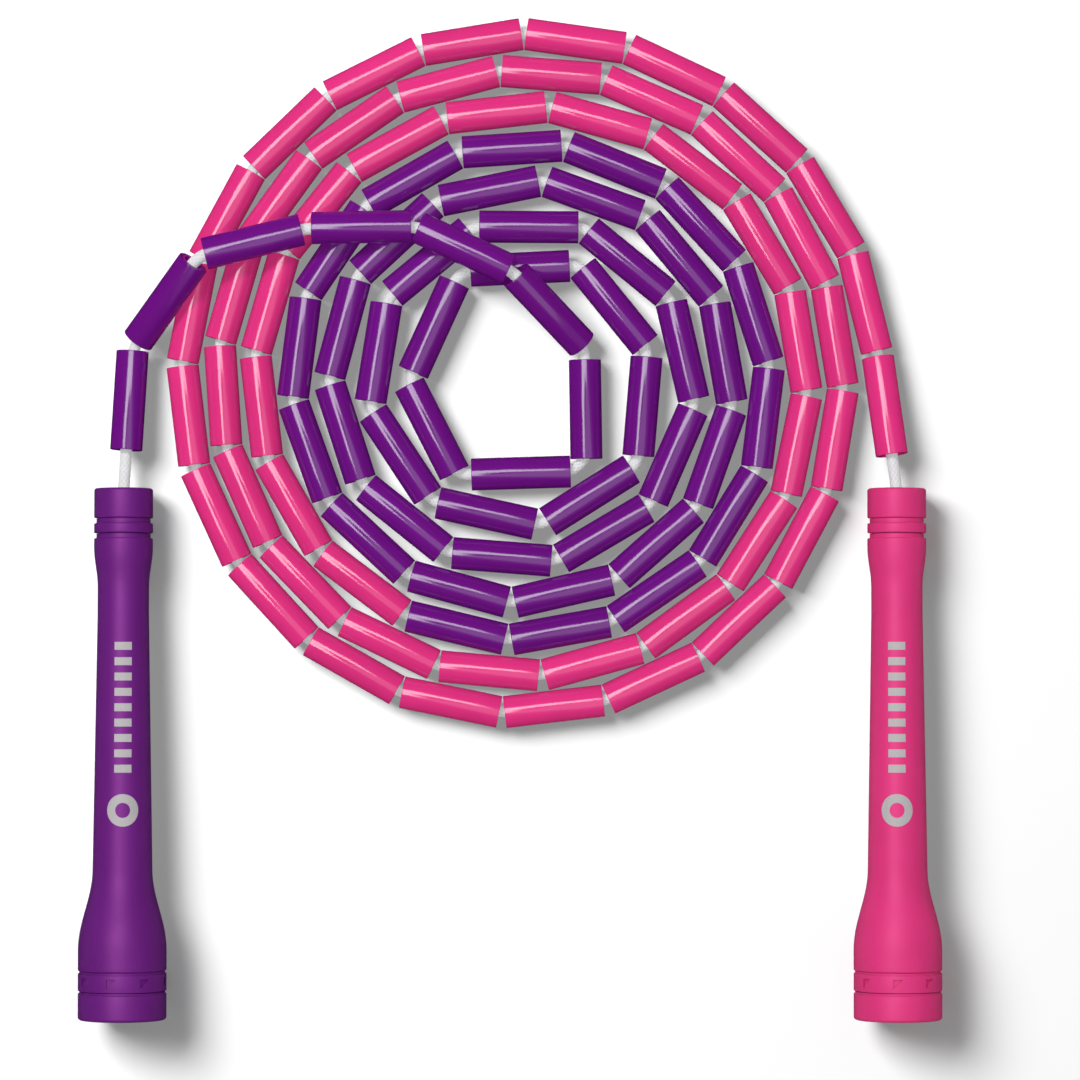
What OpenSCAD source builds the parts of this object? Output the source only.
// Beaded jump rope: two spinning handles and one hundred tube beads on a braided cord.
// The rope lies coiled on a table. Its pink half is outside and its purple half inside,
// and its purple end crosses back over the coil to the purple handle.
// X runs from the purple handle to the pink one, Y along the handles towards their noses.
// Millimetres. The table is z = 0.

/* [Beads] */
// Length of one bead
bead_len = 25.3; // [24.5:0.1:25.5]
// Outside diameter of a bead
bead_d = 8.2; // [7.6:0.1:8.2]
// Diameter of the hole through a bead
bead_bore = 5; // [4:0.1:5.6]
// Bevel on a bead's outer edges
bead_bevel = 0.25; // [0.1:0.05:0.5]
// Smallest space left between two beads
bead_gap = 0.1; // [0.05:0.01:0.2]

/* [Cord] */
// Diameter of the braided cord
cord_d = 3; // [2:0.1:3.2]

/* [Coil] */
// Radius at which the outermost turn starts
coil_radius = 91.2; // [91:0.1:92]
// Space from one turn to the next, at the outermost turn
coil_pitch = 9.05; // [9:0.01:9.1]
// What each turn adds to that space
coil_growth = 0.06; // [0.05:0.01:0.08]
// Angle at which the outermost turn starts
coil_start = 4.6; // [4:0.1:6]
// Number of beads that follow the regular spiral
coil_beads = 85; // [85:1:85]

/* [Handles] */
// Distance between the axes of the two handles
handle_spacing = 196.7; // [196:0.1:202]
// Length of a handle
handle_len = 134.8; // [134:0.1:140]
// Diameter of the handle's butt
butt_d = 22.4; // [21:0.1:24]
// Diameter of the handle's nose
nose_d = 14.9; // [14.2:0.1:16]
// Diameter of the handle's waist, behind the nose
waist_d = 13; // [12.6:0.1:13.4]
// Diameter of the grip where it meets the butt's shoulder
palm_d = 15.1; // [14.4:0.1:16]
// Diameter of the cord's hole in the nose
nose_hole_d = 4; // [3.6:0.1:4.4]

/* [Butt] */
// Height of the end cap
cap_h = 6.8; // [6:0.1:8]
// Rounding of the end cap's edge
cap_round = 0.8; // [0.4:0.1:1.2]
// Height of the raised band between the butt's two grooves
band_h = 4.4; // [3.6:0.1:5]
// Number of triangles pressed into the band
marks = 8; // [6:1:12]
// Side of a triangle
mark_side = 2.3; // [1.6:0.1:2.6]
// Depth of a triangle
mark_depth = 0.35; // [0.1:0.05:0.5]
// Depth of the grooves round the butt
butt_groove = 0.35; // [0.3:0.1:0.8]

/* [Nose] */
// Height of the nose cap
nose_h = 7.6; // [7:0.1:9]
// Height of the nose ring's raised band
ring_h = 2.5; // [2:0.1:3.5]
// Height of each groove beside that band
ring_groove_h = 1.3; // [1:0.1:1.6]
// Depth of the grooves beside that band
ring_groove = 0.6; // [0.4:0.05:0.8]

/* [Hidden] */
PINK = [0.89, 0.21, 0.5];
PURPLE = [0.4, 0.09, 0.47];
CORD_WHITE = [0.93, 0.92, 0.9];
METAL = [0.72, 0.73, 0.75];
NYLON = [0.85, 0.85, 0.82];
SEAL = [0.12, 0.12, 0.13];

// Clearances: a part that turns or slides, and parts that are pressed together
slip = 0.05;
snug = 0.02;

// Ten runs of beads a colour, and one loose lead bead beside each handle
run_beads = 5;
runs = 10;
RUN_NUMBERS = [for (k = [1 : runs]) k];
HANDLE_PARTS = ["grip", "nose_ring", "nose_cap", "butt_band", "end_cap", "cap_seal",
                "swivel_washer", "cord_stop"];

// ---- Places along a handle, measured from the flat end of its cap towards the nose ----
butt_r = butt_d / 2;
nose_r = nose_d / 2;
waist_r = waist_d / 2;
palm_r = palm_d / 2;
band_groove_h = 0.6;
band_from = cap_h + band_groove_h;
band_to = band_from + band_h;
grip_from = band_to + 0.7;
shoulder_from = 17.6;
shoulder_to = 38.2;
waist_from = 103;
flare_from = 109.8;
flare_to = 119.8;
ring_from = handle_len - nose_h - ring_h - 2 * ring_groove_h;
ring_to = handle_len - nose_h;
// Hollow of the grip
spigot_r = butt_r - 2.1;
socket_r = 7.6;
hollow_r = 4.6;
hollow_from = 20;
hollow_taper_to = 40;
hollow_to = 116.8;
neck_r = nose_r - 1.85;
neck_to = ring_to + 2.7;
neck_bore_r = 2.5;
// Plug of the cap, and its seal
plug_to = cap_h + 8;
plug_wall = 1.6;
seal_at = cap_h + 4;
seal_wire_r = 0.55;
seal_r = socket_r - slip - seal_wire_r;
// Washer and stop on the cord
washer_h = 0.8;
washer_from = hollow_to - washer_h;
stop_h = 6;
stop_to = washer_from - 0.1;
tail_from = 106.8;

// ---- How a handle lies: its butt and its nose both rest on the table ----
rest_butt_at = shoulder_from;
rest_nose_at = handle_len - 0.6;
tilt = atan((butt_r - nose_r) / (rest_nose_at - rest_butt_at));
base_y = -67.3;
base_z = butt_r * cos(tilt) + rest_butt_at * sin(tilt);
// How far each handle is turned about its own axis
pink_turn = -4.5;
purple_turn = -9.5;
function on_axis(side, s) =
    [side * handle_spacing / 2, base_y + s * cos(tilt), base_z - s * sin(tilt)];
PINK_SIDE = 1;
PURPLE_SIDE = -1;
pink_exit = on_axis(PINK_SIDE, handle_len);
purple_exit = on_axis(PURPLE_SIDE, handle_len);

// ---- The coil: a flat spiral of straight links, one for each bead ----
bead_r = bead_d / 2;
coil_centre = [2.9, 94.6];
function coil_r(a) = coil_radius - coil_pitch * a / 360 - coil_growth * pow(a / 360, 2);
function coil_point(a) =
    [coil_centre.x + coil_r(a) * cos(a), coil_centre.y + coil_r(a) * sin(a), bead_r];
// A link is a bead and the room that the corners at its two ends take up
function link_len(turn) = bead_len + bead_gap + bead_d * tan(turn / 2);
function link_turn(r1, r2, link) = acos((r1 * r1 + r2 * r2 - link * link) / (2 * r1 * r2));
function next_turn(a, turn, tries) =
    tries == 0 ? turn
    : next_turn(a, link_turn(coil_r(a), coil_r(a + turn), link_len(turn)), tries - 1);
function first_guess(a) = bead_len / coil_r(a) * 180 / PI;
function coil_angles(a, n) =
    n == 0 ? [a] : concat([a], coil_angles(a + next_turn(a, first_guess(a), 3), n - 1));

// ---- The loose end: the last beads inside the coil, then the crossing on top of it ----
inner_end = [[32.5, 73.4, bead_r], [35, 103.4, bead_r], [18, 124.4, bead_r],
             [-13, 122.9, bead_r], [-26, 94.4, bead_r], [-14, 70.9, bead_r],
             [19.5, 71.9, bead_r], [19, 103.4, bead_r]];
crossing = [[0.7, 122.3, 13], [-23.9, 133.8, 12.6], [-51.3, 133.3, 12.6],
            [-78.8, 126.3, 14], [-96.2, 103.4, 5.4]];

// Every bend of the cord between two beads, from the pink handle to the purple one
JOINTS = concat([for (a = coil_angles(coil_start, coil_beads)) coil_point(a)],
                inner_end, crossing);
beads = len(JOINTS) + 1;
lead_corner = 1;
function unit(v) = v / norm(v);

// ---- Beads ----
module bead() {
    bore_r = bead_bore / 2;
    half = bead_len / 2;
    flat_r = bead_r - bead_bevel;
    rotate_extrude($fn = 48)
        polygon([[bore_r, -half], [flat_r, -half], [bead_r, bead_bevel - half],
                 [bead_r, half - bead_bevel], [flat_r, half], [bore_r, half]]);
}

// Puts a child that stands on Z at a point and points it along a direction
module aim(at, dir) {
    translate(at)
        rotate([0, atan2(norm([dir.x, dir.y]), dir.z), atan2(dir.y, dir.x)])
            children();
}

// Bead number k of the rope; numbers 2 to beads - 1 lie between two joints
module rope_bead(k) {
    from = JOINTS[k - 2];
    to = JOINTS[k - 1];
    aim((from + to) / 2, unit(to - from)) bead();
}

// The bead beside a handle lies against its joint and has free cord on its other side
module lead_bead(joint, exit) {
    dir = unit(exit - joint);
    aim(joint + dir * (bead_len / 2 + lead_corner), dir) bead();
}

// A run of beads of one colour, counted from the pink handle
module bead_run(first, last, tint) {
    color(tint)
        for (k = [first : last])
            rope_bead(k);
}

// ---- Cord: a tube of eight sides, mitred at every joint ----
cord_sides = 8;
cord_r = cord_d / 2;
CORD_PATH = concat([on_axis(PINK_SIDE, tail_from), pink_exit], JOINTS,
                   [purple_exit, on_axis(PURPLE_SIDE, tail_from)]);
last_ring = len(CORD_PATH) - 1;
function way_in(i) = unit(CORD_PATH[max(i, 1)] - CORD_PATH[max(i, 1) - 1]);
function way_out(i) =
    unit(CORD_PATH[min(i, last_ring - 1) + 1] - CORD_PATH[min(i, last_ring - 1)]);
function ring(i) =
    let (t = unit(way_in(i) + way_out(i)),
         side = unit(cross(t, [0, 0, 1])),
         up = cross(side, t),
         stretch = 1 / (way_in(i) * t))
    [for (n = [0 : cord_sides - 1])
        CORD_PATH[i] + cord_r * (stretch * cos(n * 360 / cord_sides) * side
                                 + sin(n * 360 / cord_sides) * up)];

module rope_cord() {
    rings = [for (i = [0 : last_ring]) ring(i)];
    points = [for (r = rings, p = r) p];
    n = cord_sides;
    walls = [for (i = [0 : last_ring - 1], k = [0 : n - 1])
                [i * n + k, (i + 1) * n + k, (i + 1) * n + (k + 1) % n, i * n + (k + 1) % n]];
    start = [for (k = [0 : n - 1]) k];
    end = [for (k = [n - 1 : -1 : 0]) last_ring * n + k];
    color(CORD_WHITE)
        polyhedron(points = points, faces = concat([start], walls, [end]));
}

// ---- Handle parts, each standing on Z with the cap's flat end at z = 0 ----
module lathe(outline) {
    rotate_extrude($fn = 96)
        polygon(outline);
}

module place_handle(side, turn) {
    translate(on_axis(side, 0))
        rotate([-90 - tilt, 0, 0])
            rotate([0, 0, turn])
                children();
}

// Corner of the given radius, as points from angle a0 to angle a1 about a centre
function corner(centre, r, a0, a1, steps) =
    [for (i = [0 : steps]) let (a = a0 + (a1 - a0) * i / steps) centre + r * [cos(a), sin(a)]];

// Smooth step from r1 at s1 to r2 at s2
function ease(s, s1, s2, r1, r2) = r2 + (r1 - r2) * (1 + cos(180 * (s - s1) / (s2 - s1))) / 2;

shoulder_steps = 12;
flare_steps = 8;
module grip(tint) {
    shoulder = [for (i = [0 : shoulder_steps])
                   let (s = shoulder_from + (shoulder_to - shoulder_from) * i / shoulder_steps)
                   [ease(s, shoulder_from, shoulder_to, butt_r, palm_r), s]];
    flare = [for (i = [0 : flare_steps])
                let (s = flare_from + (flare_to - flare_from) * i / flare_steps)
                [ease(s, flare_from, flare_to, waist_r, nose_r), s]];
    outside = concat([[spigot_r, cap_h + snug], [spigot_r, grip_from],
                      [butt_r - 0.3, grip_from], [butt_r, grip_from + 0.3]],
                     shoulder, [[waist_r, waist_from]], flare,
                     [[nose_r, ring_from - 0.2], [nose_r - 0.2, ring_from],
                      [neck_r, ring_from], [neck_r, neck_to]]);
    inside = [[neck_bore_r, neck_to], [neck_bore_r, hollow_to], [hollow_r, hollow_to],
              [hollow_r, hollow_taper_to], [socket_r, hollow_from], [socket_r, cap_h + snug]];
    color(tint)
        lathe(concat(outside, inside));
}

module nose_ring(tint) {
    low = ring_from + snug;
    high = ring_to - snug;
    band_r = nose_r - ring_groove;
    bore_r = neck_r + snug;
    color(tint)
        lathe([[bore_r, low], [band_r, low], [band_r, ring_from + ring_groove_h],
               [nose_r - 0.15, ring_from + ring_groove_h],
               [nose_r, ring_from + ring_groove_h + 0.15],
               [nose_r, ring_to - ring_groove_h - 0.15],
               [nose_r - 0.15, ring_to - ring_groove_h],
               [band_r, ring_to - ring_groove_h], [band_r, high], [bore_r, high]]);
}

module nose_cap(tint) {
    hole_r = nose_hole_d / 2;
    socket = neck_r + snug;
    edge = 0.6;
    rim = corner([nose_r - edge, handle_len - edge], edge, 0, 90, 5);
    mouth = 0.8;
    lip = corner([hole_r + mouth, handle_len - mouth], mouth, 90, 180, 4);
    color(tint)
        lathe(concat([[socket, ring_to], [nose_r - 0.2, ring_to], [nose_r, ring_to + 0.2]],
                     rim, lip, [[hole_r, neck_to + snug], [socket, neck_to + snug]]));
}

// Right triangle pressed into the band, seen from outside, with the nose upwards
module band_mark() {
    middle = band_from + band_h / 2;
    half = mark_side / 2;
    translate([0, -(butt_r - mark_depth), middle])
        rotate([90, 0, 0])
            linear_extrude(height = 2 * mark_depth)
                polygon([[-half, half], [-half, -half], [half, half]]);
}

module butt_band(tint) {
    groove_r = butt_r - butt_groove;
    bore_r = spigot_r + snug;
    color(tint)
        difference() {
            lathe([[bore_r, cap_h + snug], [groove_r, cap_h + snug], [groove_r, band_from],
                   [butt_r - 0.15, band_from], [butt_r, band_from + 0.15],
                   [butt_r, band_to - 0.15], [butt_r - 0.15, band_to], [groove_r, band_to],
                   [groove_r, grip_from - snug], [bore_r, grip_from - snug]]);
            for (i = [0 : marks - 1])
                rotate([0, 0, i * 360 / marks])
                    band_mark();
        }
}

module end_cap(tint) {
    plug_r = socket_r - 2 * slip;
    seat_r = seal_r - seal_wire_r;
    seat_half = 0.7;
    hollow = plug_r - plug_wall;
    floor_h = 2;
    edge = corner([butt_r - cap_round, cap_round], cap_round, -90, 0, 5);
    color(tint)
        lathe(concat([[0, 0]], edge,
                     [[butt_r, cap_h - 0.3], [butt_r - 0.3, cap_h], [plug_r, cap_h],
                      [plug_r, seal_at - seat_half], [seat_r, seal_at - seat_half],
                      [seat_r, seal_at + seat_half], [plug_r, seal_at + seat_half],
                      [plug_r, plug_to - 0.4], [plug_r - 0.4, plug_to],
                      [hollow - 0.6, plug_to], [hollow - 0.6, floor_h], [0, floor_h]]));
}

module cap_seal() {
    color(SEAL)
        rotate_extrude($fn = 64)
            translate([seal_r, seal_at])
                circle(r = seal_wire_r, $fn = 24);
}

module swivel_washer() {
    washer_r = hollow_r - 0.3;
    bore_r = cord_r + 0.3;
    color(NYLON)
        lathe([[bore_r, washer_from], [washer_r, washer_from],
               [washer_r, hollow_to - snug], [bore_r, hollow_to - snug]]);
}

module cord_stop() {
    bore_r = cord_r + snug;
    stop_r = 3.2;
    from = stop_to - stop_h;
    color(METAL)
        lathe([[bore_r, from], [stop_r - 0.4, from], [stop_r, from + 0.4],
               [stop_r, stop_to - 0.4], [stop_r - 0.4, stop_to], [bore_r, stop_to]]);
}

module handle_part(part, tint) {
    if (part == "grip") grip(tint);
    if (part == "nose_ring") nose_ring(tint);
    if (part == "nose_cap") nose_cap(tint);
    if (part == "butt_band") butt_band(tint);
    if (part == "end_cap") end_cap(tint);
    if (part == "cap_seal") cap_seal();
    if (part == "swivel_washer") swivel_washer();
    if (part == "cord_stop") cord_stop();
}

rope_cord();
color(PINK) lead_bead(JOINTS[0], pink_exit);  // pink_lead_bead
color(PURPLE) lead_bead(JOINTS[beads - 2], purple_exit);  // purple_lead_bead
for (k = RUN_NUMBERS) {
    first = 2 + (k - 1) * run_beads;
    last = min(first + run_beads - 1, beads / 2);
    bead_run(first, last, PINK);
    bead_run(beads + 1 - last, beads + 1 - first, PURPLE);
}
for (p = HANDLE_PARTS) {
    place_handle(PINK_SIDE, pink_turn) handle_part(p, PINK);
    place_handle(PURPLE_SIDE, purple_turn) handle_part(p, PURPLE);
}
